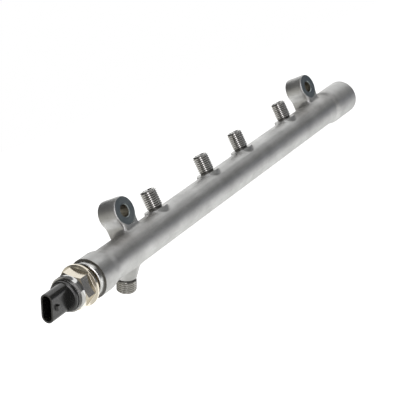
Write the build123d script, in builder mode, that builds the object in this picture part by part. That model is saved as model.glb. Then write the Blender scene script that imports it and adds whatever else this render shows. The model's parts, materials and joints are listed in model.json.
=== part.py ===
"""Fuel rail of a four-cylinder diesel engine, with a pressure sensor screwed into its near end.

Millimetres. X runs along the rail from the sensor end (-X) to the closed end (+X), Z points the way the
outlets point, and Y is the direction of the two fixing bolts. The origin lies midway between the bolt
holes, on the plane of the lugs' back faces, where the rail is bolted to its bracket.
"""

import os
from math import cos, radians, sin, sqrt, tan

from build123d import *

# Tube
rail_od = 25.0
end_step = 1.7
rail_bore = 9.5
near_overhang = 57.7
far_overhang = 49.4
near_section = 13.0
near_taper = 6.0
near_taper_round = 12.0
far_taper = 3.5
far_taper_round = 6.0
near_shoulder_length = 0.5
near_shoulder_depth = 1.5
near_nose_length = 3.5
near_nose_taper = 0.2
near_nose_chamfer = 0.5
far_chamfer = 1.0
closed_wall = 14.0
drill_point_angle = 118.0

# Lugs
lug_beyond_outlet = 41.2
lug_height = 24.8
lug_radius = 10.6
lug_neck_step = 2.4
lug_neck_round = 8.0
lug_front = 4.5
lug_inset = 0.2
lug_hole = 8.8
lug_hole_chamfer = 0.45
lug_front_round = 2.4
lug_back_round = 0.8
lug_root_round = 3.2
lug_to_far_section = 2.6
spot_face_margin = 0.65
spot_face_depth = 0.9

# Outlets
outlet_centre = -6.35
outlet_inner_spacing = 52.0
outlet_outer_spacing = 197.0
pad_margin = 2.8
pad_rise = 0.4
pad_root_round = 3.0
stub_length = 14.3

# Inlet, tilted from straight down towards the lugs' back faces
inlet_beyond_lug = 12.4
inlet_tilt = 30.0
inlet_length = 10.8
inlet_boss_margin = 0.2
inlet_boss_inset = 2.3
inlet_boss_rise = 6.3
inlet_root_round = 4.0

# Pipe stubs, threads M12 x 1.5 and M14 x 1.5
outlet_thread = 12.0
inlet_thread = 14.0
thread_chamfer = 0.95
undercut_width = 2.0
undercut_depth = 0.95
seat_rim = 1.8
seat_angle = 60.0

# Throttles pressed into the stubs
throttle_diameter = 4.2
throttle_fit = 0.02
throttle_length = 7.0
throttle_setback = 5.5
throttle_orifice = 0.9
throttle_edge = 0.3
cross_drill = 2.6

# Sensor port, thread M18 x 1.5
shank_diameter = 18.0
shank_clearance = 0.1
socket_depth_in_rail = 20.0
socket_mouth_chamfer = 0.8
nose_step = 1.5
nose_length = 3.0
pressure_channel = 3.0
hub_gap = 3.0
hub_step = 3.0
hub_width = 2.0
collar_step = 2.9
collar_width = 2.0
collar_round = 0.3
collar_cove = 0.55
hex_margin = 0.55
hex_length = 9.8
hex_face_step = 0.5
hex_chamfer_angle = 30.0
hex_turn = -2.6
spigot_length = 1.5
spigot_step = 0.65
cavity_diameter = 17.2
cavity_floor = 2.0

# Measuring parts inside the port
cell_diameter = 8.0
cell_height = 4.0
cell_membrane = 0.5
ring_height = 6.0
ring_wall = 1.4
inner_clearance = 0.15
board_thickness = 1.0
board_window = 5.0
chip_size = 3.6
chip_height = 1.0
chip_offset = 5.2

# Connector housing
flange_height = 1.5
base_height = 6.6
base_diameter = 21.2
base_round = 0.8
tower_length = 20.4
tower_width = 9.0
tower_height = 17.0
tower_turn = 28.0
tower_wall = 1.2
socket_depth = 13.0
recess_depth = 2.6
recess_diameter = 16.0
nub_width = 3.2
nub_length = 3.0
nub_height = 1.6
nub_slope = 0.6
nub_setback = 3.2

# Crimp sleeve and seal
sleeve_wall = 0.85
neck_wall = 0.5
neck_length = 1.5
sleeve_round = 0.4
lip_round = 0.2
fit_clearance = 0.05
seal_section = 1.2

# Terminals and contact springs
terminal_pitch = 4.6
blade_width = 1.6
blade_thickness = 0.8
blade_reach = 7.5
blade_point = 0.3
plate_width = 2.2
plate_reach = 5.0
plate_thickness = 0.5
spring_strip = 0.25
spring_width = 1.6
spring_depth = 1.8
spring_inset = 0.3

# Reach of a solid into its neighbour before they are joined or cut, and the slack for picking corners
sink = 1.0
slack = 0.01

# Places worked out from the sizes above
rail_radius = rail_od / 2
end_radius = rail_radius + end_step
lug_spacing = outlet_outer_spacing + 2 * lug_beyond_outlet
lug_neck = 2 * (lug_radius - lug_neck_step)
lug_back = rail_radius - lug_inset
spot_face_radius = lug_radius - spot_face_margin
axis_y = -lug_back
axis_z = -lug_height
bore_radius = rail_bore / 2
outlet_radius = outlet_thread / 2
inlet_radius = inlet_thread / 2
pad_radius = outlet_radius + pad_margin
pad_height = rail_radius + pad_rise
stub_height = pad_height + stub_length
inlet_place = -lug_spacing / 2 - inlet_beyond_lug
inlet_boss_top = inlet_radius + inlet_boss_margin
inlet_boss_foot = rail_radius - inlet_boss_inset
inlet_boss_height = rail_radius + inlet_boss_rise
inlet_height = inlet_boss_height + inlet_length
near_x = -lug_spacing / 2 - near_overhang
far_x = lug_spacing / 2 + far_overhang
shoulder_x = near_x - near_shoulder_length
face_x = shoulder_x - near_nose_length
shoulder_radius = end_radius - near_shoulder_depth
face_radius = shoulder_radius - near_nose_taper
near_ramp_x = near_x + near_section
far_ramp_x = lug_spacing / 2 + lug_neck / 2 + lug_root_round + lug_to_far_section
seat_x = face_x + socket_depth_in_rail
drill_point = bore_radius / tan(radians(drill_point_angle / 2))
hub_back_x = face_x - hub_gap
collar_back_x = hub_back_x - hub_width
collar_front_x = collar_back_x - collar_width
hex_front_x = collar_front_x - hex_length
spigot_front_x = hex_front_x - spigot_length
cavity_floor_x = collar_front_x - cavity_floor
ring_top_x = cavity_floor_x - ring_height
board_top_x = ring_top_x - board_thickness
flange_top_x = spigot_front_x - flange_height
recess_roof_x = spigot_front_x - recess_depth
base_top_x = spigot_front_x - base_height
tower_top_x = base_top_x - tower_height
socket_floor_x = tower_top_x + socket_depth
blade_tip_x = socket_floor_x - blade_reach
base_radius = base_diameter / 2
spigot_radius = base_radius + spigot_step
hex_radius = spigot_radius + hex_margin
hex_face_radius = hex_radius - hex_face_step
collar_radius = hex_radius + collar_step
shank_radius = shank_diameter / 2
nose_radius = shank_radius - nose_step
cavity_radius = cavity_diameter / 2
carrier_radius = cavity_radius - inner_clearance
sleeve_bore = spigot_radius + fit_clearance
neck_bore = base_radius + fit_clearance
sleeve_step_x = flange_top_x - sleeve_wall
lip_x = sleeve_step_x - neck_length
seal_mean = (cavity_radius + base_radius) / 2
seal_centre_x = spigot_front_x - seal_section / 2 - fit_clearance
outlet_places = [outlet_centre + share * spacing for share, spacing in
                 ((-0.5, outlet_outer_spacing), (-0.5, outlet_inner_spacing),
                  (0.5, outlet_inner_spacing), (0.5, outlet_outer_spacing))]
lug_places = [-lug_spacing / 2, lug_spacing / 2]
terminal_places = [-terminal_pitch, 0.0, terminal_pitch]
up = Vector(0, 0, 1)
inlet_way = Vector(0, sin(radians(inlet_tilt)), -cos(radians(inlet_tilt)))
rail_axis = Axis((0, axis_y, axis_z), (1, 0, 0))
rail_section = Plane((0, axis_y, axis_z), x_dir=(1, 0, 0), z_dir=(0, -1, 0))


def across(x, turn=0.0):
    """Plane across the rail at x, facing the sensor side, with its x axis turned from +Z towards -Y."""
    lean = radians(turn)
    return Plane((x, axis_y, axis_z), x_dir=(0, -sin(lean), cos(lean)), z_dir=(-1, 0, 0))


def branch(x, way):
    """Plane through the rail's axis at x whose y axis is the way a branch points."""
    return Plane((x, axis_y, axis_z), x_dir=(1, 0, 0), z_dir=Vector(1, 0, 0).cross(way))


def turn(points, plane=rail_section, axis=rail_axis, mode=Mode.ADD):
    """Revolve the closed outline through points of plane about axis, into the part in hand."""
    with BuildSketch(plane) as outline:
        with BuildLine():
            Polyline(*points, close=True)
        make_face()
    revolve(outline.sketch, axis=axis, mode=mode)


def branch_turn(points, x, way, mode=Mode.ADD):
    """Revolve an outline of (radius, distance from the rail's axis) about a branch."""
    turn(points, branch(x, way), Axis((x, axis_y, axis_z), way), mode)


def stub(x, way, radius, root, height):
    """Pipe stub: undercut, thread barrel and chamfer, standing on a boss that ends at root."""
    neck = radius - undercut_depth
    branch_turn([(0, rail_radius - sink), (neck, rail_radius - sink),
                 (neck, root + undercut_width - undercut_depth), (radius, root + undercut_width),
                 (radius, height - thread_chamfer), (radius - thread_chamfer, height),
                 (0, height)], x, way)


def drilling(x, way, radius, height):
    """Hole down a stub: cone seat, bore for the throttle, and the thinner drilling into the rail."""
    mouth = radius - seat_rim
    bore = throttle_diameter / 2
    seat_bottom = height - (mouth - bore) / tan(radians(seat_angle / 2))
    step = height - throttle_setback - throttle_length
    branch_turn([(0, 0), (cross_drill / 2, 0), (cross_drill / 2, step), (bore, step),
                 (bore, seat_bottom), (mouth, height), (0, height)], x, way, Mode.SUBTRACT)


def finish(piece, name):
    """Label the finished piece and write its STEP file."""
    piece.part.label = name
    export_step(piece.part, f"parts/{name}.step")


os.makedirs("parts", exist_ok=True)

# Bolt lug at x = 0: a round eye on a narrower neck that reaches down to the rail's axis
lug_plane = Plane((0, axis_y - lug_front, axis_z), x_dir=(1, 0, 0), z_dir=(0, -1, 0))
with BuildPart() as lug:
    with BuildSketch(lug_plane):
        with Locations((0, lug_height)):
            Circle(lug_radius)
        with Locations((0, lug_height / 2)):
            Rectangle(lug_neck, lug_height)
        fillet([corner for corner in vertices() if corner.Z > axis_z + slack], lug_neck_round)
    extrude(amount=-(lug_front + lug_back))
    for face, rounding in ((faces().sort_by(Axis.Y)[0], lug_front_round),
                           (faces().sort_by(Axis.Y)[-1], lug_back_round)):
        fillet([edge for edge in face.edges() if edge.center().Z > axis_z + slack], rounding)

with BuildPart() as rail_body:
    # Tube with its thicker ends
    with BuildSketch(rail_section):
        with BuildLine():
            Polyline((face_x, 0), (face_x, face_radius - near_nose_chamfer),
                     (face_x + near_nose_chamfer, face_radius), (shoulder_x, shoulder_radius), (near_x, end_radius),
                     (near_ramp_x, end_radius), (near_ramp_x + near_taper, rail_radius),
                     (far_ramp_x, rail_radius), (far_ramp_x + far_taper, end_radius),
                     (far_x - far_chamfer, end_radius), (far_x, end_radius - far_chamfer),
                     (far_x, 0), close=True)
        make_face()
        for ramp_x, taper, rounding in ((near_ramp_x, near_taper, near_taper_round),
                                        (far_ramp_x, far_taper, far_taper_round)):
            fillet([corner for corner in vertices() if abs(corner.X - ramp_x) < slack
                    or abs(corner.X - ramp_x - taper) < slack], rounding)
    revolve(axis=rail_axis)

    # Outlet pads, forged tall and then faced flat
    for place in outlet_places:
        with BuildSketch(Plane((place, axis_y, axis_z), z_dir=up)):
            Circle(pad_radius)
        extrude(amount=stub_height)
        fillet(edges(Select.NEW), pad_root_round)
        with BuildSketch(Plane((place, axis_y, axis_z + pad_height), z_dir=up)):
            Circle(pad_radius + pad_root_round)
        extrude(amount=stub_height, mode=Mode.SUBTRACT)

    # Inlet boss, tapered
    boss_root = sqrt(rail_radius ** 2 - inlet_boss_foot ** 2) - sink
    boss_plane = Plane((inlet_place, axis_y, axis_z), x_dir=(1, 0, 0), z_dir=inlet_way)
    with BuildSketch(boss_plane.offset(boss_root)):
        Circle(inlet_boss_foot)
    with BuildSketch(boss_plane.offset(inlet_boss_height)):
        Circle(inlet_boss_top)
    loft()
    fillet(edges(Select.NEW), inlet_root_round)

    # Bolt lugs, each faced at the front and drilled
    for place in lug_places:
        with Locations((place, 0, 0)):
            add(lug.part)
        fillet(edges(Select.NEW), lug_root_round)
        with BuildSketch(lug_plane.offset(-spot_face_depth)):
            with Locations((place, lug_height)):
                Circle(spot_face_radius)
        extrude(amount=lug_front, mode=Mode.SUBTRACT)
        hole_front = axis_y - lug_front + spot_face_depth
        bolt_section = Plane((place, 0, 0), x_dir=(1, 0, 0), z_dir=up)
        turn([(0, hole_front), (lug_hole / 2 + lug_hole_chamfer, hole_front),
              (lug_hole / 2, hole_front + lug_hole_chamfer), (lug_hole / 2, -lug_hole_chamfer),
              (lug_hole / 2 + lug_hole_chamfer, 0), (0, 0)],
             bolt_section, Axis((place, 0, 0), (0, 1, 0)), Mode.SUBTRACT)

    # Pipe stubs, then every hole
    for place in outlet_places:
        stub(place, up, outlet_radius, pad_height, stub_height)
    stub(inlet_place, inlet_way, inlet_radius, inlet_boss_height, inlet_height)
    socket_radius = shank_radius + shank_clearance
    bore_end_x = far_x - closed_wall
    turn([(face_x, 0), (face_x, socket_radius + socket_mouth_chamfer),
          (face_x + socket_mouth_chamfer, socket_radius), (seat_x, socket_radius), (seat_x, bore_radius),
          (bore_end_x - drill_point, bore_radius), (bore_end_x, 0)], mode=Mode.SUBTRACT)
    for place in outlet_places:
        drilling(place, up, outlet_radius, stub_height)
    drilling(inlet_place, inlet_way, inlet_radius, inlet_height)
finish(rail_body, "rail_body")

# Throttles, seated on the step of each drilling
throttle_stubs = [(f"outlet_throttle_{number}", place, up, stub_height)
                  for number, place in enumerate(outlet_places, 1)]
throttle_stubs.append(("inlet_throttle", inlet_place, inlet_way, inlet_height))
for name, place, way, height in throttle_stubs:
    top = height - throttle_setback
    bottom = top - throttle_length
    outside = throttle_diameter / 2 - throttle_fit
    hole = throttle_orifice / 2
    with BuildPart() as throttle:
        branch_turn([(hole, bottom), (outside - throttle_edge, bottom), (outside, bottom + throttle_edge),
                     (outside, top - throttle_edge), (outside - throttle_edge, top), (hole, top)],
                    place, way)
    finish(throttle, name)

with BuildPart() as sensor_port:
    # Hexagon with its corners turned off towards the front
    with BuildSketch(across(collar_front_x)):
        RegularPolygon(hex_radius, 6, major_radius=False, rotation=hex_turn)
    extrude(amount=hex_length)
    corner_radius = 2 * hex_radius / sqrt(3) + sink
    chamfer_depth = (corner_radius - hex_face_radius) * tan(radians(hex_chamfer_angle))
    turn([(collar_front_x, 0), (collar_front_x, corner_radius), (hex_front_x + chamfer_depth, corner_radius),
          (hex_front_x, hex_face_radius), (hex_front_x, 0)], mode=Mode.INTERSECT)
    # Collar with a rounded rim, and a cove round the foot of the hexagon that stays clear of the rim at its corners
    with BuildSketch(rail_section):
        with BuildLine():
            Polyline((collar_front_x, 0), (collar_front_x, collar_radius), (collar_back_x, collar_radius),
                     (collar_back_x, 0), close=True)
        make_face()
        fillet([corner for corner in vertices() if corner.Z > axis_z + slack], collar_round)
    revolve(axis=rail_axis)
    cove_room = (collar_radius - collar_round - corner_radius + sink) * sqrt(3) / 2 - slack
    fillet([edge for edge in edges().filter_by(GeomType.LINE) if abs(edge.center().X - collar_front_x) < slack],
           min(collar_cove, cove_room))
    # Hub, shank and nose behind the collar, spigot in front
    turn([(collar_back_x, 0), (collar_back_x, shank_radius + hub_step), (hub_back_x, shank_radius + hub_step),
          (hub_back_x, shank_radius), (seat_x - nose_length - shank_clearance, shank_radius),
          (seat_x - nose_length, nose_radius), (seat_x, nose_radius), (seat_x, 0)])
    turn([(hex_front_x, 0), (hex_front_x, spigot_radius), (spigot_front_x, spigot_radius),
          (spigot_front_x, 0)])
    # Front cavity and pressure channel
    turn([(spigot_front_x, 0), (spigot_front_x, cavity_radius), (cavity_floor_x, cavity_radius),
          (cavity_floor_x, pressure_channel / 2), (seat_x, pressure_channel / 2), (seat_x, 0)],
         mode=Mode.SUBTRACT)
finish(sensor_port, "sensor_port")

with BuildPart() as pressure_cell:
    cell_top_x = cavity_floor_x - cell_height
    turn([(cavity_floor_x, pressure_channel / 2), (cavity_floor_x, cell_diameter / 2),
          (cell_top_x, cell_diameter / 2), (cell_top_x, 0), (cell_top_x + cell_membrane, 0),
          (cell_top_x + cell_membrane, pressure_channel / 2)])
finish(pressure_cell, "pressure_cell")

with BuildPart() as board_ring:
    turn([(cavity_floor_x, carrier_radius - ring_wall), (cavity_floor_x, carrier_radius),
          (ring_top_x, carrier_radius), (ring_top_x, carrier_radius - ring_wall)])
finish(board_ring, "board_ring")

with BuildPart() as sensor_board:
    turn([(ring_top_x, board_window / 2), (ring_top_x, carrier_radius), (board_top_x, carrier_radius),
          (board_top_x, board_window / 2)])
finish(sensor_board, "sensor_board")

with BuildPart() as signal_chip:
    with BuildSketch(across(board_top_x, tower_turn)):
        with Locations((0, -chip_offset)):
            Rectangle(chip_size, chip_size)
    extrude(amount=chip_height)
finish(signal_chip, "signal_chip")

# Terminals: a plate under the housing's roof and a blade through it into the socket
for number, place in enumerate(terminal_places, 1):
    with BuildPart() as terminal:
        with BuildSketch(across(recess_roof_x, tower_turn)):
            with Locations((place, (plate_reach - blade_thickness / 2) / 2)):
                Rectangle(plate_width, plate_reach + blade_thickness / 2)
        extrude(amount=-plate_thickness)
        with BuildSketch(across(recess_roof_x, tower_turn)):
            with Locations((place, 0)):
                Rectangle(blade_width, blade_thickness)
        extrude(amount=recess_roof_x - blade_tip_x)
        chamfer(faces().sort_by(Axis.X)[0].edges(), blade_point)
    finish(terminal, f"terminal_{number}")

# Contact springs: a bent strip from the board up to the terminal's plate
spring_height = board_top_x - recess_roof_x - plate_thickness
for number, place in enumerate(terminal_places, 1):
    lean = radians(tower_turn)
    spring_plane = Plane(across(board_top_x, tower_turn).from_local_coords((place - spring_width / 2, 0, 0)),
                         x_dir=(0, cos(lean), sin(lean)), z_dir=(0, -sin(lean), cos(lean)))
    with BuildPart() as spring:
        with BuildSketch(spring_plane):
            with Locations((plate_reach - spring_inset - spring_depth / 2, spring_height / 2)):
                Rectangle(spring_depth, spring_height)
            with Locations((plate_reach - spring_inset - spring_depth / 2 + spring_strip, spring_height / 2)):
                Rectangle(spring_depth, spring_height - 2 * spring_strip, mode=Mode.SUBTRACT)
        extrude(amount=spring_width)
    finish(spring, f"contact_spring_{number}")

with BuildPart() as connector_housing:
    turn([(spigot_front_x, 0), (spigot_front_x, spigot_radius), (flange_top_x, spigot_radius),
          (flange_top_x, base_radius), (base_top_x + base_round, base_radius),
          (base_top_x, base_radius - base_round), (base_top_x, 0)])
    with BuildSketch(across(base_top_x, tower_turn)):
        SlotOverall(tower_length, tower_width)
    extrude(amount=tower_height)
    # Latch nub on the side that faces away from the lugs' back faces
    nub_front_x = tower_top_x + nub_setback
    side = -tower_width / 2
    lean = radians(tower_turn)
    nub_plane = Plane(across(nub_front_x, tower_turn).from_local_coords((-nub_width / 2, side, 0)),
                      x_dir=(1, 0, 0), z_dir=(0, -sin(lean), cos(lean)))
    with BuildSketch(nub_plane):
        with BuildLine():
            Polyline((0, 0), (nub_slope, -nub_height), (nub_length, -nub_height), (nub_length, 0), close=True)
        make_face()
    extrude(amount=nub_width)
    # Socket, recess for the springs, seal groove and terminal slots
    with BuildSketch(across(tower_top_x, tower_turn)):
        SlotOverall(tower_length - 2 * tower_wall, tower_width - 2 * tower_wall)
    extrude(amount=-socket_depth, mode=Mode.SUBTRACT)
    turn([(spigot_front_x, 0), (spigot_front_x, recess_diameter / 2), (recess_roof_x, recess_diameter / 2),
          (recess_roof_x, 0)], mode=Mode.SUBTRACT)
    groove = seal_section / 2 + fit_clearance
    turn([(spigot_front_x, seal_mean - groove), (spigot_front_x, seal_mean + groove),
          (spigot_front_x - 2 * groove, seal_mean + groove),
          (spigot_front_x - 2 * groove, seal_mean - groove)], mode=Mode.SUBTRACT)
    with BuildSketch(across(recess_roof_x, tower_turn)):
        for place in terminal_places:
            with Locations((place, 0)):
                Rectangle(blade_width, blade_thickness)
    extrude(amount=recess_roof_x - socket_floor_x, mode=Mode.SUBTRACT)
finish(connector_housing, "connector_housing")

with BuildPart() as housing_seal:
    with BuildSketch(rail_section):
        with Locations((seal_centre_x, seal_mean)):
            Circle(seal_section / 2)
    revolve(axis=rail_axis)
finish(housing_seal, "housing_seal")

with BuildPart() as crimp_sleeve:
    with BuildSketch(rail_section):
        with BuildLine():
            Polyline((hex_front_x, sleeve_bore), (hex_front_x, sleeve_bore + sleeve_wall),
                     (sleeve_step_x, sleeve_bore + sleeve_wall), (sleeve_step_x, neck_bore + neck_wall),
                     (lip_x, neck_bore + neck_wall), (lip_x, neck_bore), (flange_top_x, neck_bore),
                     (flange_top_x, sleeve_bore), close=True)
        make_face()
        step = vertices().sort_by_distance((sleeve_step_x, axis_y, axis_z + sleeve_bore + sleeve_wall))[0]
        fillet(step, sleeve_round)
        lip = [corner for corner in vertices() if abs(corner.X - lip_x) < slack]
        fillet(lip, lip_round)
    revolve(axis=rail_axis)
finish(crimp_sleeve, "crimp_sleeve")
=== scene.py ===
import json
from math import radians, tau

import bmesh
import bpy
import numpy as np
from mathutils import Matrix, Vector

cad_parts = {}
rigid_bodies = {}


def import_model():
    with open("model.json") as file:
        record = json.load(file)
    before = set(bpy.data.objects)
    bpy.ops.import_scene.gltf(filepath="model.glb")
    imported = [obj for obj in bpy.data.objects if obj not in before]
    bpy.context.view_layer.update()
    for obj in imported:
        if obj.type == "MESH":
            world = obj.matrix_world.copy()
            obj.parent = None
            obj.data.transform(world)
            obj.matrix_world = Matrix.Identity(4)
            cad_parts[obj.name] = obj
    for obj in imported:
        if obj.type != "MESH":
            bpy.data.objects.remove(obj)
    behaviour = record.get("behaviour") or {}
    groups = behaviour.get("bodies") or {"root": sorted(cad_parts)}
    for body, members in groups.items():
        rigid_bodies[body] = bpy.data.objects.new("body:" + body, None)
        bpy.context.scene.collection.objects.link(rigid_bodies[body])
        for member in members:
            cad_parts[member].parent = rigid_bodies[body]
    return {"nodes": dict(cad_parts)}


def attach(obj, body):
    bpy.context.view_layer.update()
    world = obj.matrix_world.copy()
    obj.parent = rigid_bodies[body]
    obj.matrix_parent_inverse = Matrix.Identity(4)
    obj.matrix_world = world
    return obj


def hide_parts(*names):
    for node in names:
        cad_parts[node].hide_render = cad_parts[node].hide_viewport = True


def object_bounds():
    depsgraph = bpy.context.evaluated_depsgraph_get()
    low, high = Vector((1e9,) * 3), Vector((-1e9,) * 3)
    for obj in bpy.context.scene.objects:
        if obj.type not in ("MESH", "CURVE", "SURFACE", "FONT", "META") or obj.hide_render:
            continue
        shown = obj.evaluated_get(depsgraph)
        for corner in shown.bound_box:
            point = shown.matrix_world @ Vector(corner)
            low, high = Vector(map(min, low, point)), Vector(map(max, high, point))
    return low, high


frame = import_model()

scene = bpy.context.scene
nodes = frame["nodes"]
cadLow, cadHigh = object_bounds()
mm = 0.001
weldGap = 2e-6  # vertices nearer than this are one, in metres
touch = 0.05  # a face nearer than this to a surface lies on it, in mm

# places that several pieces share, in mm, as in the CAD model
rail = {"axisY": -12.3, "axisZ": -24.8, "nearX": -197.4, "shoulder": 0.5, "shoulderRadius": 10.45,
        "farX": 189.1, "farChamfer": 1.0, "bore": 4.75, "crease": 28}
lug = {"places": (-139.7, 139.7), "discY": -15.9, "discRadius": 9.95, "holeRadius": 4.4, "holeChamfer": 0.5}
outlet = {"places": (-104.85, -32.35, 19.65, 92.15), "radius": 6.0, "root": 12.9, "top": 27.2,
          "way": (0.0, 0.0, 1.0), "threadFinish": "threadSteel"}
# the inlet's thread finish carries painted shade
inlet = {"places": (-152.1,), "radius": 7.0, "root": 18.8, "top": 29.6, "way": (0.0, 0.5, -0.8660254),
         "threadFinish": "inletThreadPaintedShade"}
stubs = [(x, kind) for kind in (outlet, inlet) for x in kind["places"]]
print("frame loaded,", len(nodes), "nodes")


# meshes

def meshFromGrid(name, points, wrap):
    # points is rows x columns x 3 in mm; each quad joins four neighbours, and wrap joins the last row to the first
    rows, cols = points.shape[:2]
    index = np.arange(rows * cols).reshape(rows, cols)
    if wrap:
        index = np.vstack([index, index[:1]])
    quads = np.stack([index[:-1, :-1], index[:-1, 1:], index[1:, 1:], index[1:, :-1]], axis=-1).reshape(-1, 4)
    mesh = bpy.data.meshes.new(name)
    mesh.from_pydata((points.reshape(-1, 3) * mm).tolist(), [], quads.tolist())
    return mesh


def weld(mesh, outward):
    # merges doubles, drops the faces that this leaves without area, and can turn all faces outwards
    work = bmesh.new()
    work.from_mesh(mesh)
    bmesh.ops.remove_doubles(work, verts=work.verts, dist=weldGap)
    bmesh.ops.dissolve_degenerate(work, edges=work.edges, dist=weldGap)
    if outward:
        bmesh.ops.recalc_face_normals(work, faces=work.faces)
    work.to_mesh(mesh)
    work.free()


def smoothWithCreases(mesh, angle):
    mesh.shade_smooth()
    mesh.set_sharp_from_angle(angle=radians(angle))


def placePiece(name, mesh):
    piece = bpy.data.objects.new(name, mesh)
    scene.collection.objects.link(piece)
    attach(piece, "root")
    return piece


def faceCentres(mesh):
    flat = np.empty(len(mesh.polygons) * 3)
    mesh.polygons.foreach_get("center", flat)
    return flat.reshape(-1, 3) / mm


def distanceFromAxis(points):
    return np.hypot(points[:, 1] - rail["axisY"], points[:, 2] - rail["axisZ"])


def alongStub(points, x, kind):
    # distance up the stub's axis, distance from that axis, and the vector from the axis to each point, in mm
    way = np.array(kind["way"])
    fromRail = points - np.array((x, rail["axisY"], rail["axisZ"]))
    height = fromRail @ way
    outward = fromRail - height[:, None] * way
    return height, np.linalg.norm(outward, axis=1), outward


# pipe threads: right-hand, pitch 1.5, on the M12 outlets and the M14 inlet
thread = {"pitch": 1.5, "depth": 0.86, "chamfer": 0.95, "relief": 2.0, "reliefDepth": 0.95, "coreStep": 1.0,
          "insideStep": 1.05, "rootBelow": 0.5, "grooveFloor": 1.1, "sink": 0.03, "topGap": 0.05,
          "columns": 96, "crease": 35,
          "profile": ((0.00, 0.0), (0.16, 0.0), (0.32, 0.0), (0.38, 0.04), (0.43, 0.2), (0.57, 0.86),
                      (0.62, 0.98), (0.66, 1.0), (0.70, 0.98), (0.75, 0.86), (0.89, 0.2), (0.94, 0.04))}


def threadShell(name, x, kind):
    # radius falls from the crest to the root of a V profile, and the profile climbs one pitch a turn;
    # the end chamfer and the slope of the relief groove cap the radius, and the inside is a plain tube
    share, fall = np.array(thread["profile"]).T
    low = kind["root"] + thread["relief"] - thread["reliefDepth"] - thread["sink"]
    high = kind["top"] - thread["topGap"]
    turns = int(np.ceil((high - low) / thread["pitch"])) + 2  # a spare turn at each end
    climb = (np.arange(turns)[:, None] + share[None, :]).ravel() - 1.0
    deep = np.tile(fall, turns)
    angle = np.linspace(0, tau, thread["columns"] + 1)
    height = low + thread["pitch"] * (climb[:, None] + angle[None, :] / tau)
    radius = kind["radius"] - thread["depth"] * deep[:, None] + 0 * height
    height = np.clip(height, low, high)
    chamferCap = kind["radius"] - thread["chamfer"] + kind["top"] - height
    reliefCap = kind["radius"] - thread["reliefDepth"] + height - low - thread["sink"]
    radius = np.minimum(radius, np.minimum(chamferCap, reliefCap))
    inside = np.full((1, angle.size), kind["radius"] - thread["insideStep"])
    radius = np.vstack([radius, inside, inside])
    height = np.vstack([height, 0 * inside + high, 0 * inside + low])
    way = np.array(kind["way"])
    side = np.array((1.0, 0.0, 0.0))
    across = np.cross(way, side)
    turned = np.cos(angle)[:, None] * side + np.sin(angle)[:, None] * across
    centre = np.array((x, rail["axisY"], rail["axisZ"]))
    points = centre + height[..., None] * way + radius[..., None] * turned
    mesh = meshFromGrid(name, points, wrap=True)
    weld(mesh, outward=True)
    smoothWithCreases(mesh, thread["crease"])
    return placePiece(name, mesh)


threads = [threadShell(f"pipe_thread_{number}", x, kind) for number, (x, kind) in enumerate(stubs, 1)]
print("threads cut:", len(threads))

# rail body: the CAD forging with its plain barrels drawn in under the threads
railMesh = nodes["rail_body"].data.copy()
railMesh.name = "forged_rail"
if "custom_normal" in railMesh.attributes:
    railMesh.attributes.remove(railMesh.attributes["custom_normal"])
weld(railMesh, outward=False)
railPoints = np.empty(len(railMesh.vertices) * 3)
railMesh.vertices.foreach_get("co", railPoints)
railPoints = railPoints.reshape(-1, 3) / mm
for x, kind in stubs:
    height, radius, outward = alongStub(railPoints, x, kind)
    barrel = (np.abs(radius - kind["radius"]) < touch) & (height > kind["root"] + touch) & (height < kind["top"])
    railPoints[barrel] -= outward[barrel] * thread["coreStep"] / kind["radius"]
railMesh.vertices.foreach_set("co", (railPoints * mm).ravel())
railMesh.update()
smoothWithCreases(railMesh, rail["crease"])
forgedRail = placePiece("forged_rail", railMesh)
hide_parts("rail_body")
print("rail body:", len(railMesh.polygons), "faces")


# shader groups

def addNode(tree, kind, inputs=(), **settings):
    node = tree.nodes.new("ShaderNode" + kind)
    for key, value in settings.items():
        setattr(node, key, value)
    for key, value in dict(inputs).items():
        if isinstance(value, bpy.types.NodeSocket):
            tree.links.new(value, node.inputs[key])
        else:
            node.inputs[key].default_value = value
    return node


def startGroup(name, inputs, outputs):
    tree = bpy.data.node_groups.new(name, "ShaderNodeTree")
    for label, kind, value in inputs:
        socket = tree.interface.new_socket(label, in_out="INPUT", socket_type="NodeSocket" + kind)
        if value is not None:
            socket.default_value = value
    for label, kind in outputs:
        tree.interface.new_socket(label, in_out="OUTPUT", socket_type="NodeSocket" + kind)
    return tree, tree.nodes.new("NodeGroupInput").outputs, tree.nodes.new("NodeGroupOutput").inputs


def calc(tree, operation, first, second=0.0):
    return addNode(tree, "Math", {0: first, 1: second}, operation=operation).outputs[0]


def noise(tree, place, scale, detail, rough):
    inputs = {"Vector": place, "Scale": scale, "Detail": detail, "Roughness": rough}
    return addNode(tree, "TexNoise", inputs).outputs["Fac"]


def spread(tree, value, low, high, toLow=0.0, toHigh=1.0):
    inputs = {"Value": value, "From Min": low, "From Max": high, "To Min": toLow, "To Max": toHigh}
    return addNode(tree, "MapRange", inputs).outputs[0]


def vector(tree, operation, first, second=(0, 0, 0), output="Vector"):
    return addNode(tree, "VectorMath", {0: first, 1: second}, operation=operation).outputs[output]


railCentre = (0.0, rail["axisY"], rail["axisZ"])
lugCentre = (lug["places"][1], 0, 0)
alongRail, roundRail, alongStubs = (1, 0, 0), (0, 1, 1), (0, 0, 1)  # directions that a distance keeps
roundBolt, throughLug = (1, 0, 1), (0, 1, 0)


def distanceFrom(tree, place, centre, keep):
    # length of (place - centre) with the other directions left out
    moved = vector(tree, "SUBTRACT", place, [c * mm for c in centre])
    return vector(tree, "LENGTH", vector(tree, "MULTIPLY", moved, keep), output="Value")


grain = {"fineShare": 0.55, "mottleEdges": (0.3, 0.7), "speckEdges": (0.62, 0.74)}


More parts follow.
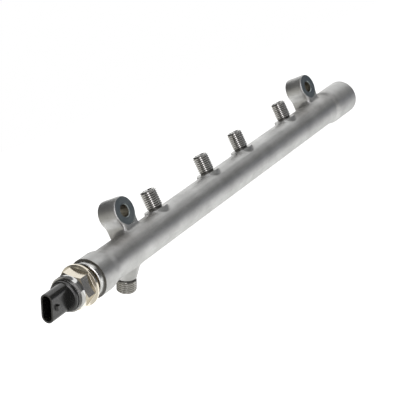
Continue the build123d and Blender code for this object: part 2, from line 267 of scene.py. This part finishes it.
def makeGrain():
    # shot-blasted or moulded skin: fine dimples over coarser waves, with a slow mottle for colour
    tree, given, out = startGroup("skinGrain", [("Place", "Vector", None), ("Fine", "Float", 2600.0),
                                                ("Coarse", "Float", 700.0), ("Mottle", "Float", 60.0)],
                                  [("Height", "Float"), ("Mottle", "Float"), ("Specks", "Float")])
    fine = noise(tree, given["Place"], given["Fine"], detail=2.0, rough=0.6)
    coarse = noise(tree, given["Place"], given["Coarse"], detail=3.0, rough=0.55)
    dimples = calc(tree, "MULTIPLY", fine, grain["fineShare"])
    waves = calc(tree, "MULTIPLY", coarse, 1 - grain["fineShare"])
    mottle = noise(tree, given["Place"], given["Mottle"], detail=4.0, rough=0.6)
    tree.links.new(calc(tree, "ADD", dimples, waves), out["Height"])
    tree.links.new(spread(tree, mottle, *grain["mottleEdges"]), out["Mottle"])
    tree.links.new(spread(tree, coarse, *grain["speckEdges"]), out["Specks"])
    return tree


turning = {"unevenSize": 0.37, "shadeEdges": (0.3, 0.7), "shadeShare": 0.6}


def makeTurning():
    # lathe marks: rings at a given distance, uneven in depth, one pitch apart
    tree, given, out = startGroup("latheMarks", [("Distance", "Float", 0.0), ("Pitch", "Float", 0.0003)],
                                  [("Height", "Float"), ("Shade", "Float")])
    turns = calc(tree, "DIVIDE", given["Distance"], given["Pitch"])
    ripple = calc(tree, "SINE", calc(tree, "MULTIPLY", turns, tau))
    inputs = {"W": turns, "Scale": turning["unevenSize"], "Detail": 3.0}
    uneven = addNode(tree, "TexNoise", inputs, noise_dimensions="1D").outputs["Fac"]
    ridge = calc(tree, "ADD", calc(tree, "MULTIPLY", ripple, 0.5), 0.5)
    tree.links.new(calc(tree, "MULTIPLY", ridge, uneven), out["Height"])
    tree.links.new(spread(tree, uneven, *turning["shadeEdges"]), out["Shade"])
    return tree


handling = {"filmEdges": (0.35, 0.75)}


def makeHandling():
    # faint cloudy film of handling and oil that dulls a bright surface in patches
    tree, given, out = startGroup("handlingFilm", [("Place", "Vector", None), ("Size", "Float", 90.0)],
                                  [("Film", "Float")])
    clouds = noise(tree, given["Place"], given["Size"], detail=5.0, rough=0.65)
    tree.links.new(spread(tree, clouds, *handling["filmEdges"]), out["Film"])
    return tree


# painted shade round the lugs' feet: where it lies and fades, in mm, and its noisy patches
lugFootShade = {"middleX": -10.0, "reach": (46.0, 24.0), "lugEdge": (13.0, 19.0), "tubeSide": (-20.5, -14.5),
             "farEnd": (162.0, 146.0), "patchSize": 90.0, "patchEdges": (0.25, 0.6), "patchShare": (0.45, 1.0)}


def makeLugFootShade():
    # painted shade on top of the tube round the feet of the lugs, where the lugs shade the tube and darken its
    # reflection
    tree, given, out = startGroup("lugFootShade", [("Place", "Vector", None)], [("Mask", "Float")])
    shifted = vector(tree, "SUBTRACT", given["Place"], (lugFootShade["middleX"] * mm, 0, 0))
    fromMiddle, fromLug = (distanceFrom(tree, vector(tree, "ABSOLUTE", place), lugCentre, roundBolt)
                           for place in (shifted, given["Place"]))
    parts = addNode(tree, "SeparateXYZ", {0: given["Place"]}).outputs
    patches = noise(tree, given["Place"], lugFootShade["patchSize"], detail=3.0, rough=0.6)
    mask = spread(tree, patches, *lugFootShade["patchEdges"], *lugFootShade["patchShare"])
    limits = {"reach": fromMiddle, "lugEdge": fromLug, "tubeSide": parts["Z"], "farEnd": parts["X"]}
    for limit, value in limits.items():  # each limit fades the painted shade in from its first place to its second
        none, full = lugFootShade[limit]
        mask = calc(tree, "MULTIPLY", mask, spread(tree, value, none * mm, full * mm))
    tree.links.new(mask, out["Mask"])
    return tree


skinGrain, latheMarks, handlingFilm, lugFootShadeGroup = makeGrain(), makeTurning(), makeHandling(), makeLugFootShade()


def useGroup(tree, group, inputs):
    return addNode(tree, "Group", inputs, node_tree=group).outputs


def startMaterial(name, metallic, specular):
    material = bpy.data.materials.new(name)
    material.use_nodes = True
    tree = material.node_tree
    shader = tree.nodes["Principled BSDF"]
    shader.inputs["Metallic"].default_value = metallic
    shader.inputs["Specular IOR Level"].default_value = specular
    return material, tree, shader, addNode(tree, "TexCoord").outputs["Object"]


def blendColours(tree, share, first, second):
    # sockets 0, 6, 7 and output 2 are those of a colour mix; a plain colour gets its alpha
    inputs = {0: share}
    for key, value in ((6, first), (7, second)):
        inputs[key] = value if isinstance(value, bpy.types.NodeSocket) else (*value, 1.0)
    return addNode(tree, "Mix", inputs, data_type="RGBA").outputs[2]


def addBump(tree, shader, height, strength, depth):
    bump = addNode(tree, "Bump", {"Height": height, "Strength": strength, "Distance": depth * mm})
    tree.links.new(bump.outputs["Normal"], shader.inputs["Normal"])


# materials

def grainyMaterial(name, look):
    material, tree, shader, place = startMaterial(name, look["metallic"], look.get("specular", 0.5))
    skin = useGroup(tree, skinGrain, {"Place": place, "Fine": look["fine"], "Coarse": look["coarse"],
                                      "Mottle": look["mottle"]})
    film = useGroup(tree, handlingFilm, {"Place": place, "Size": look["film"]})["Film"]
    colour = blendColours(tree, skin["Mottle"], look["dark"], look["light"])
    specks = calc(tree, "MULTIPLY", skin["Specks"], look["speck"])
    colour = blendColours(tree, specks, colour, look["speckColour"])
    # the scale entries paint shade round the lugs' feet into the colour
    if "scale" in look:
        mask = useGroup(tree, lugFootShadeGroup, {"Place": place})["Mask"]
        colour = blendColours(tree, calc(tree, "MULTIPLY", mask, look["scale"]), colour, look["scaleColour"])
    tree.links.new(colour, shader.inputs["Base Color"])
    tree.links.new(spread(tree, film, 0.0, 1.0, *look["rough"]), shader.inputs["Roughness"])
    addBump(tree, shader, skin["Height"], look["bump"], look["depth"])
    return material


def turnedMaterial(name, look):
    material, tree, shader, place = startMaterial(name, 1.0, 0.5)
    if look.get("mirrorX"):  # both lugs share one axis distance
        place = vector(tree, "ABSOLUTE", place)
    distance = distanceFrom(tree, place, look["centre"], look["keep"])
    marks = useGroup(tree, latheMarks, {"Distance": distance, "Pitch": look["pitch"] * mm})
    film = useGroup(tree, handlingFilm, {"Place": place, "Size": look["film"]})["Film"]
    shade = calc(tree, "ADD", calc(tree, "MULTIPLY", marks["Shade"], turning["shadeShare"]),
                 calc(tree, "MULTIPLY", film, 1 - turning["shadeShare"]))
    tree.links.new(blendColours(tree, shade, look["dark"], look["light"]), shader.inputs["Base Color"])
    tree.links.new(spread(tree, film, 0.0, 1.0, *look["rough"]), shader.inputs["Roughness"])
    addBump(tree, shader, marks["Height"], look["bump"], look["depth"])
    return material


finishes = {
    # blasted forging; its scale entries are painted shade round the lugs' feet
    "blastedSteel": grainyMaterial("blastedSteel", {
        "metallic": 1.0, "dark": (0.56, 0.56, 0.55), "light": (0.74, 0.74, 0.73), "speck": 0.5,
        "speckColour": (0.44, 0.44, 0.43), "fine": 2600.0, "coarse": 800.0, "mottle": 55.0, "film": 40.0,
        "rough": (0.44, 0.56), "bump": 0.35, "depth": 0.06, "scale": 0.85, "scaleColour": (0.25, 0.24, 0.225)}),
    # painted dark reflection in the colour of the faced lug discs and hole chamfers
    "lugFacePaintedReflection": turnedMaterial("lugFacePaintedReflection", {
        "mirrorX": True, "centre": lugCentre, "keep": roundBolt, "pitch": 0.35, "dark": (0.30, 0.345, 0.345),
        "light": (0.43, 0.47, 0.47), "film": 120.0, "rough": (0.30, 0.42), "bump": 0.35, "depth": 0.02}),
    # painted shade inside the lug holes
    "lugHolePaintedShade": turnedMaterial("lugHolePaintedShade", {
        "mirrorX": True, "centre": lugCentre, "keep": throughLug, "pitch": 0.4, "dark": (0.29, 0.275, 0.24),
        "light": (0.43, 0.41, 0.365), "film": 120.0, "rough": (0.28, 0.40), "bump": 0.3, "depth": 0.02}),
    "turnedEnd": turnedMaterial("turnedEnd", {
        "centre": railCentre, "keep": alongRail, "pitch": 0.30, "dark": (0.80, 0.80, 0.78),
        "light": (0.90, 0.90, 0.88), "film": 120.0, "rough": (0.26, 0.38), "bump": 0.3, "depth": 0.015}),
    # painted shade on the far end face and its chamfer
    "farEndPaintedShade": turnedMaterial("farEndPaintedShade", {
        "centre": railCentre, "keep": roundRail, "pitch": 0.4, "dark": (0.30, 0.30, 0.30),
        "light": (0.42, 0.42, 0.42), "film": 120.0, "rough": (0.28, 0.40), "bump": 0.3, "depth": 0.02}),
    "turnedStub": turnedMaterial("turnedStub", {
        "centre": (0, 0, 0), "keep": alongStubs, "pitch": 0.22, "dark": (0.60, 0.60, 0.59),
        "light": (0.73, 0.72, 0.70), "film": 160.0, "rough": (0.22, 0.34), "bump": 0.25, "depth": 0.012}),
    "threadSteel": turnedMaterial("threadSteel", {
        "centre": (0, 0, 0), "keep": alongStubs, "pitch": 0.11, "dark": (0.60, 0.59, 0.58),
        "light": (0.74, 0.73, 0.71), "film": 220.0, "rough": (0.10, 0.18), "bump": 0.06, "depth": 0.01}),
    # painted shade darkens the whole inlet thread
    "inletThreadPaintedShade": turnedMaterial("inletThreadPaintedShade", {
        "centre": (0, 0, 0), "keep": alongStubs, "pitch": 0.11, "dark": (0.42, 0.41, 0.39),
        "light": (0.56, 0.55, 0.52), "film": 220.0, "rough": (0.14, 0.24), "bump": 0.06, "depth": 0.01}),
    # painted shade in the thread roots, the stubs' relief grooves and the near shoulder
    "groovePaintedShade": turnedMaterial("groovePaintedShade", {
        "centre": (0, 0, 0), "keep": alongStubs, "pitch": 0.22, "dark": (0.12, 0.118, 0.112),
        "light": (0.20, 0.195, 0.185), "film": 160.0, "rough": (0.38, 0.5), "bump": 0.2, "depth": 0.012}),
    "nickel": turnedMaterial("nickel", {
        "centre": railCentre, "keep": roundRail, "pitch": 0.25, "dark": (0.80, 0.73, 0.60),
        "light": (0.88, 0.82, 0.70), "film": 110.0, "rough": (0.12, 0.22), "bump": 0.12, "depth": 0.01}),
    # painted shade on the port's hub in the gap behind the collar
    "hubPaintedShade": turnedMaterial("hubPaintedShade", {
        "centre": railCentre, "keep": alongRail, "pitch": 0.25, "dark": (0.28, 0.235, 0.16),
        "light": (0.38, 0.325, 0.23), "film": 110.0, "rough": (0.3, 0.42), "bump": 0.2, "depth": 0.01}),
    # painted shade on the crimp sleeve's neck and inner faces
    "sleeveNeckPaintedShade": turnedMaterial("sleeveNeckPaintedShade", {
        "centre": railCentre, "keep": alongRail, "pitch": 0.18, "dark": (0.19, 0.19, 0.19),
        "light": (0.27, 0.27, 0.265), "film": 130.0, "rough": (0.16, 0.26), "bump": 0.15, "depth": 0.008}),
    "polishedSleeve": turnedMaterial("polishedSleeve", {
        "centre": railCentre, "keep": alongRail, "pitch": 0.18, "dark": (0.72, 0.72, 0.71),
        "light": (0.82, 0.82, 0.81), "film": 130.0, "rough": (0.10, 0.18), "bump": 0.1, "depth": 0.008}),
    "groundSteel": turnedMaterial("groundSteel", {
        "centre": railCentre, "keep": roundRail, "pitch": 0.15, "dark": (0.50, 0.50, 0.50),
        "light": (0.62, 0.62, 0.62), "film": 150.0, "rough": (0.25, 0.38), "bump": 0.2, "depth": 0.01}),
    "blackPlastic": grainyMaterial("blackPlastic", {
        "metallic": 0.0, "dark": (0.007, 0.007, 0.0065), "light": (0.013, 0.013, 0.012), "speck": 0.3,
        "speckColour": (0.02, 0.02, 0.02), "fine": 5200.0, "coarse": 1600.0, "mottle": 120.0, "film": 90.0,
        "rough": (0.24, 0.34), "specular": 1.0, "bump": 0.2, "depth": 0.02}),
    "carrierPlastic": grainyMaterial("carrierPlastic", {
        "metallic": 0.0, "dark": (0.66, 0.62, 0.50), "light": (0.74, 0.70, 0.58), "speck": 0.2,
        "speckColour": (0.5, 0.46, 0.36), "fine": 5200.0, "coarse": 1600.0, "mottle": 150.0, "film": 90.0,
        "rough": (0.45, 0.6), "bump": 0.2, "depth": 0.02}),
    "boardMask": grainyMaterial("boardMask", {
        "metallic": 0.0, "dark": (0.03, 0.16, 0.07), "light": (0.05, 0.24, 0.10), "speck": 0.4,
        "speckColour": (0.10, 0.30, 0.14), "fine": 4000.0, "coarse": 900.0, "mottle": 300.0, "film": 200.0,
        "rough": (0.28, 0.4), "bump": 0.15, "depth": 0.02}),
    "chipEpoxy": grainyMaterial("chipEpoxy", {
        "metallic": 0.0, "dark": (0.018, 0.018, 0.018), "light": (0.028, 0.028, 0.028), "speck": 0.3,
        "speckColour": (0.05, 0.05, 0.05), "fine": 8000.0, "coarse": 3000.0, "mottle": 400.0, "film": 300.0,
        "rough": (0.5, 0.62), "bump": 0.3, "depth": 0.01}),
    "contactTin": grainyMaterial("contactTin", {
        "metallic": 1.0, "dark": (0.72, 0.60, 0.32), "light": (0.82, 0.70, 0.40), "speck": 0.2,
        "speckColour": (0.6, 0.48, 0.26), "fine": 5000.0, "coarse": 1500.0, "mottle": 300.0, "film": 250.0,
        "rough": (0.22, 0.34), "bump": 0.08, "depth": 0.01}),
    "sealRubber": grainyMaterial("sealRubber", {
        "metallic": 0.0, "dark": (0.016, 0.016, 0.016), "light": (0.024, 0.024, 0.024), "speck": 0.2,
        "speckColour": (0.04, 0.04, 0.04), "fine": 4000.0, "coarse": 1200.0, "mottle": 200.0, "film": 200.0,
        "rough": (0.55, 0.7), "bump": 0.3, "depth": 0.02}),
}
print("materials made:", len(finishes))


def dress(piece, finish):
    piece.data.materials.clear()
    piece.data.materials.append(finishes[finish])


nodeFinishes = {"sensor_port": "nickel", "crimp_sleeve": "polishedSleeve", "connector_housing": "blackPlastic",
                "pressure_cell": "groundSteel", "board_ring": "carrierPlastic", "sensor_board": "boardMask",
                "signal_chip": "chipEpoxy", "housing_seal": "sealRubber", "inlet_throttle": "groundSteel"}
nodeFinishes.update({f"outlet_throttle_{n}": "groundSteel" for n in range(1, 5)})
nodeFinishes.update({f"terminal_{n}": "contactTin" for n in range(1, 4)})
nodeFinishes.update({f"contact_spring_{n}": "contactTin" for n in range(1, 4)})
for name, finish in nodeFinishes.items():
    dress(nodes[name], finish)
for piece, (x, kind) in zip(threads, stubs):  # painted shade darkens the thread's root
    dress(piece, kind["threadFinish"])
    piece.data.materials.append(finishes["groovePaintedShade"])
    height, radius = alongStub(faceCentres(piece.data), x, kind)[:2]
    inRoot = (radius < kind["radius"] - thread["rootBelow"]) & (height < kind["top"] - thread["chamfer"])
    piece.data.polygons.foreach_set("material_index", inRoot.astype(np.int32))

# the forging's machined places get their own finish, picked by where each face lies
railFinishes = ["blastedSteel", "lugFacePaintedReflection", "turnedEnd", "turnedStub", "groovePaintedShade", "lugHolePaintedShade", "farEndPaintedShade"]
railMesh.materials.clear()
for finish in railFinishes:
    railMesh.materials.append(finishes[finish])
centres = faceCentres(railMesh)
alongX, fromAxis = centres[:, 0], distanceFromAxis(centres)
finishIndex = np.zeros(len(centres), dtype=np.int32)


def finishRail(finish, chosen):
    finishIndex[chosen] = railFinishes.index(finish)


# the lugs' faced discs and hole chamfers get a painted dark reflection, and the holes get painted shade
for x in lug["places"]:
    fromBolt = np.hypot(alongX - x, centres[:, 2])
    finishRail("lugFacePaintedReflection", (fromBolt < lug["discRadius"]) & (np.abs(centres[:, 1] - lug["discY"]) < touch))
    finishRail("lugFacePaintedReflection", fromBolt < lug["holeRadius"] + lug["holeChamfer"])
    finishRail("lugHolePaintedShade", fromBolt < lug["holeRadius"] + touch)
# the shoulder face behind the near end gets painted shade
beyondNear = rail["nearX"] - alongX
onShoulder = (beyondNear > 0) & (beyondNear < rail["shoulder"]) & (fromAxis > rail["shoulderRadius"])
finishRail("turnedEnd", beyondNear > 0)
finishRail("groovePaintedShade", onShoulder)
finishRail("turnedEnd", fromAxis < rail["bore"] + touch)
# the far end face and chamfer get painted shade
finishRail("farEndPaintedShade", alongX > rail["farX"] - rail["farChamfer"])
# the stubs' relief grooves get painted shade
for x, kind in stubs:
    height, radius = alongStub(centres, x, kind)[:2]
    above, inward = height - kind["root"], kind["radius"] - radius
    onStub = (inward > -touch) & (above > touch)
    inGroove = (above < thread["relief"] + touch) & (inward < thread["grooveFloor"])
    finishRail("turnedStub", onStub)
    finishRail("groovePaintedShade", onStub & inGroove)
railMesh.polygons.foreach_set("material_index", finishIndex)
print("machined faces:", int((finishIndex > 0).sum()))


def dressSome(name, finish, chosen):
    # another finish for the chosen faces of a CAD piece
    mesh = nodes[name].data
    slots = np.empty(len(mesh.polygons), dtype=np.int32)
    mesh.polygons.foreach_get("material_index", slots)
    slots[chosen] = len(mesh.materials)
    mesh.materials.append(finishes[finish])
    mesh.polygons.foreach_set("material_index", slots)


def shadeAsCone(mesh, chosen, slope, frontOf):
    # corners of the chosen faces that lie in front of a plane across X get the normals of a cone round the rail's
    # axis, turned by the slope from -X outwards
    count = len(mesh.loops)
    normals, vertexOf = np.empty(count * 3), np.empty(count, dtype=np.int32)
    mesh.corner_normals.foreach_get("vector", normals)
    mesh.loops.foreach_get("vertex_index", vertexOf)
    normals = normals.reshape(-1, 3)
    points = np.empty(len(mesh.vertices) * 3)
    mesh.vertices.foreach_get("co", points)
    away = points.reshape(-1, 3)[vertexOf] / mm - np.array((frontOf, rail["axisY"], rail["axisZ"]))
    inFront = away[:, 0] < 0
    away[:, 0] = 0
    away /= np.maximum(np.linalg.norm(away, axis=1), touch)[:, None]
    perFace = np.empty(len(mesh.polygons), dtype=np.int32)
    mesh.polygons.foreach_get("loop_total", perFace)
    turned = np.repeat(chosen, perFace) & inFront
    normals[turned] = np.array((-np.cos(radians(slope)), 0, 0)) + np.sin(radians(slope)) * away[turned]
    mesh.normals_split_custom_set(normals.tolist())


# sensor: the port's hub in the gap behind its collar gets painted shade, and the collar's flat front shades as a
# shallow cone; the crimp sleeve shades as rolled over towards its step, and its neck gets painted shade
port = {"collarBackX": -206.4, "collarFrontX": -208.4, "frontGap": 0.01, "collarSlope": 24.0}
sleeve = {"radius": 12.15, "chordGap": 0.06, "stepX": -222.05, "rollSlope": 64.0}
portMesh, sleeveMesh = nodes["sensor_port"].data, nodes["crimp_sleeve"].data
places = faceCentres(portMesh)
onCollarFront = np.abs(places[:, 0] - port["collarFrontX"]) < port["frontGap"]
# the hub behind the collar gets painted shade
dressSome("sensor_port", "hubPaintedShade", places[:, 0] > port["collarBackX"] + touch)
shadeAsCone(portMesh, onCollarFront, port["collarSlope"], port["collarBackX"])
places = faceCentres(sleeveMesh)
outside = distanceFromAxis(places) > sleeve["radius"] - sleeve["chordGap"]
# the sleeve's neck and inner faces get painted shade
dressSome("crimp_sleeve", "sleeveNeckPaintedShade", ~outside)
dressSome("crimp_sleeve", "turnedStub", np.abs(places[:, 0] - sleeve["stepX"]) < touch)
shadeAsCone(sleeveMesh, outside, sleeve["rollSlope"], sleeve["stepX"] + touch)
print("sensor finished")


# studio

def stagePiece(name, mesh):
    panel = bpy.data.objects.new(name, mesh)
    scene.collection.objects.link(panel)
    return panel


def levelPanel(name, middle, size):
    # flat level panel round a middle, in metres
    signs = np.array([(-1, -1, 0), (1, -1, 0), (1, 1, 0), (-1, 1, 0)])
    mesh = bpy.data.meshes.new(name)
    mesh.from_pydata((np.array(middle) + signs * np.array((*size, 0)) / 2).tolist(), [], [(0, 1, 2, 3)])
    return stagePiece(name, mesh)


def whiteSeen(tree, byCamera, byMetal):
    # one strength for camera rays, one for glossy and transmission rays, and none for light that falls on things
    path = addNode(tree, "LightPath").outputs
    mirrored = calc(tree, "MAXIMUM", path["Is Glossy Ray"], path["Is Transmission Ray"])
    return calc(tree, "ADD", calc(tree, "MULTIPLY", path["Is Camera Ray"], byCamera),
                calc(tree, "MULTIPLY", mirrored, byMetal))


def plainEmission(name, shade):
    material = bpy.data.materials.new(name)
    material.use_nodes = True
    tree = material.node_tree
    tree.nodes.clear()
    glow = addNode(tree, "Emission", {"Color": (*shade, 1), "Strength": 1.0})
    tree.links.new(glow.outputs[0], addNode(tree, "OutputMaterial").inputs["Surface"])
    return material


def onlyMirrored(panel, shade):
    # glowing panel that reflections see, and nothing else
    panel.data.materials.append(plainEmission(panel.name, shade))
    panel.visible_camera = panel.visible_diffuse = panel.visible_shadow = panel.visible_transmission = False


def tentPanel(name, azimuths, elevations, shade):
    # patch of a sphere round the object, between two azimuths from +X towards +Y and two elevations;
    # only reflections see it, as they would see the flags of a light tent
    columns, rows = studio["tentGrid"]
    turns, lifts = np.linspace(*azimuths, columns), np.linspace(*elevations, rows)
    turn, lift = np.meshgrid(np.radians(turns), np.radians(lifts))
    points = np.stack([np.cos(lift) * np.cos(turn), np.cos(lift) * np.sin(turn), np.sin(lift)], axis=-1)
    mesh = meshFromGrid(name, points * studio["tentRadius"] / mm + np.array(railCentre), wrap=False)
    onlyMirrored(stagePiece(name, mesh), shade)


studio = {"floorDrop": 0.5, "floorSize": (14.0, 14.0), "floorGlow": 0.85, "floorMirror": 0.45,
          "floorColour": (0.9, 0.9, 0.9), "fill": 0.45, "tentRadius": 1.6, "tentGrid": (25, 13),
          "tent": {"rightFlag": ((-80, -18), (0, 36), (0.088, 0.088, 0.086)),
                   "rightLow": ((-80, -52), (-18, 0), (0.07, 0.07, 0.068)),
                   "rightCard": ((-52, -18), (-18, 0), (0.14, 0.152, 0.185)),
                   "rightBack": ((-18, 20), (-18, 3), (0.25, 0.25, 0.25)),
                   "backWindow": ((20, 50), (2, 32), (1.35, 1.35, 1.33)),
                   "frontFlag": ((-139, -80), (-18, 36), (0.15, 0.15, 0.15)),
                   "frontStrip": ((-157, -139), (-18, 45), (2.5, 2.45, 2.5)),
                   "frontLeft": ((-200, -157), (-18, 36), (0.21, 0.20, 0.185)),
                   "leftWall": ((60, 160), (-18, 22), (0.56, 0.55, 0.51)),
                   "leftHigh": ((50, 200), (22, 58), (0.07, 0.07, 0.07)),
                   "roof": ((-180, 180), (58, 89), (0.15, 0.15, 0.15))},
          "floorFlags": {"nearFlag": {"x": (-2.75, 0.28), "y": (-2.0, 0.42), "shade": (0.70, 0.70, 0.68)},
                         "whiteCard": {"x": (0.3, 0.84), "y": (0.05, 1.4), "shade": (1.2, 1.2, 1.18)},
                         "farFlag": {"x": (0.85, 3.2), "y": (-2.0, 2.0), "shade": (0.5, 0.5, 0.5)}},
          "flagRise": 0.02}

floorLevel = cadLow.z - studio["floorDrop"]
floor = levelPanel("floor", (0, 0, floorLevel), studio["floorSize"])
paper = bpy.data.materials.new("whitePaper")
paper.use_nodes = True
tree = paper.node_tree
tree.nodes.clear()
matt = addNode(tree, "BsdfDiffuse", {"Color": (*studio["floorColour"], 1)})
glow = addNode(tree, "Emission", {"Color": (1, 1, 1, 1),
                                  "Strength": whiteSeen(tree, studio["floorGlow"], studio["floorMirror"])})
both = addNode(tree, "AddShader", {0: matt.outputs[0], 1: glow.outputs[0]})
under = addNode(tree, "NewGeometry").outputs["Backfacing"]  # a view from below looks through the floor
clear = addNode(tree, "BsdfTransparent")
sheet = addNode(tree, "MixShader", {0: under, 1: both.outputs[0], 2: clear.outputs[0]})
tree.links.new(sheet.outputs[0], addNode(tree, "OutputMaterial").inputs["Surface"])
floor.data.materials.append(paper)
for name, panel in studio["tent"].items():
    tentPanel(name, *panel)
for name, flag in studio["floorFlags"].items():
    middle = (sum(flag["x"]) / 2, sum(flag["y"]) / 2, floorLevel + studio["flagRise"])
    size = (flag["x"][1] - flag["x"][0], flag["y"][1] - flag["y"][0])
    onlyMirrored(levelPanel(name, middle, size), flag["shade"])

world = bpy.data.worlds.new("whiteStudio")
scene.world = world
world.use_nodes = True
tree = world.node_tree
background = tree.nodes["Background"]
background.inputs["Color"].default_value = (1, 1, 1, 1)
tree.links.new(calc(tree, "MAXIMUM", whiteSeen(tree, 1.0, 1.0), studio["fill"]), background.inputs["Strength"])

lamps = {"overhead": {"at": (-0.1, -0.35, 1.1), "aim": (0, 0, 0), "size": 0.9, "power": 12.0},
         "leftSide": {"at": (-1.2, 0.5, 0.5), "aim": (-0.1, 0, 0), "size": 0.6, "power": 5.0}}
for name, lamp in lamps.items():
    light = bpy.data.lights.new(name, "AREA")
    light.size, light.energy = lamp["size"], lamp["power"]
    holder = bpy.data.objects.new(name, light)
    scene.collection.objects.link(holder)
    back = np.array(lamp["at"]) - np.array(lamp["aim"])
    back = back / np.linalg.norm(back)
    right = np.cross((0, 0, 1), back)
    right = right / np.linalg.norm(right)
    turn = np.eye(4)
    turn[:3, 0], turn[:3, 1], turn[:3, 2], turn[:3, 3] = right, np.cross(back, right), back, lamp["at"]
    holder.matrix_world = Matrix(turn.tolist())
    holder.visible_glossy = False

# camera fitted to the photograph
view = {"place": (-857.58, -629.34, 129.42), "right": (0.5032, -0.7589, -0.4133),
        "up": (0.3637, -0.2478, 0.8980), "back": (-0.7839, -0.6021, 0.1513), "lens": 126.58, "sensor": 36.0,
        "clip": (0.01, 50.0)}
camera = bpy.data.objects.new("camera", bpy.data.cameras.new("camera"))
scene.collection.objects.link(camera)
camera.data.lens, camera.data.sensor_width = view["lens"], view["sensor"]
camera.data.clip_start, camera.data.clip_end = view["clip"]
stand = np.eye(4)
stand[:3, :3] = np.array([view["right"], view["up"], view["back"]]).T
stand[:3, 3] = np.array(view["place"]) * mm
camera.matrix_world = Matrix(stand.tolist())
scene.camera = camera
scene.view_settings.view_transform = "Standard"
